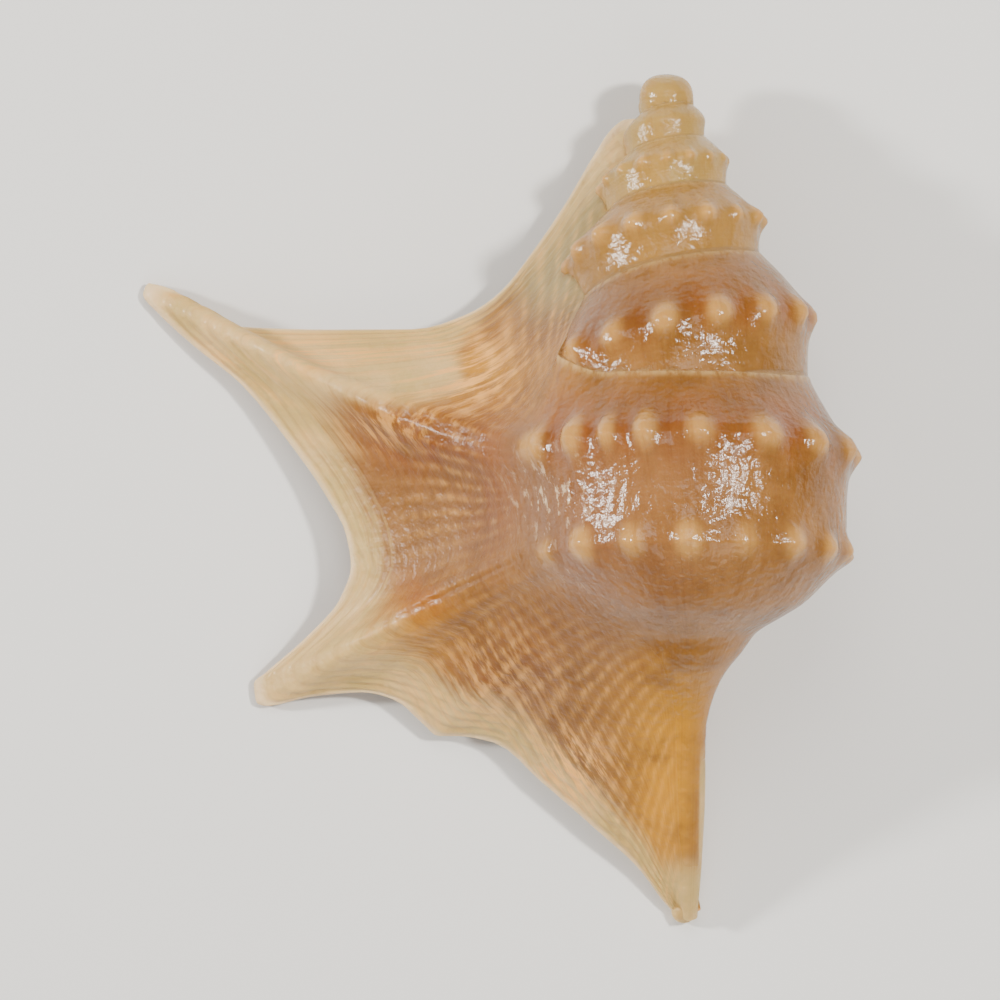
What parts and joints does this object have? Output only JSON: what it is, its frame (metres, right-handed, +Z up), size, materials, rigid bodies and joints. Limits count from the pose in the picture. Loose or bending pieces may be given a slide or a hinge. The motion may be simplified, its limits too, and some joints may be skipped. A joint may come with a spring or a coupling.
{
  "type": "pelican foot shell",
  "caption": "Knobbly pointed spiral sea shell lying on its mouth, its flared lip drawn out into toe-like points, with an open slit mouth beneath.",
  "frame": {"origin": "centre of the footprint's box, on the surface the shell rests on", "axes": "+Z up from the resting surface, +Y towards the tip of the spire, the flared lip's toes spread towards -X"},
  "size_m": [0.0356, 0.0421, 0.0174],
  "materials": {
    "shell": "natural lime shell with a thin waxy gloss, amber to salmon with cream knobs, lip edge and toes"
  },
  "bodies": {
    "root": {"shell": "shell"}
  },
  "joints": []
}
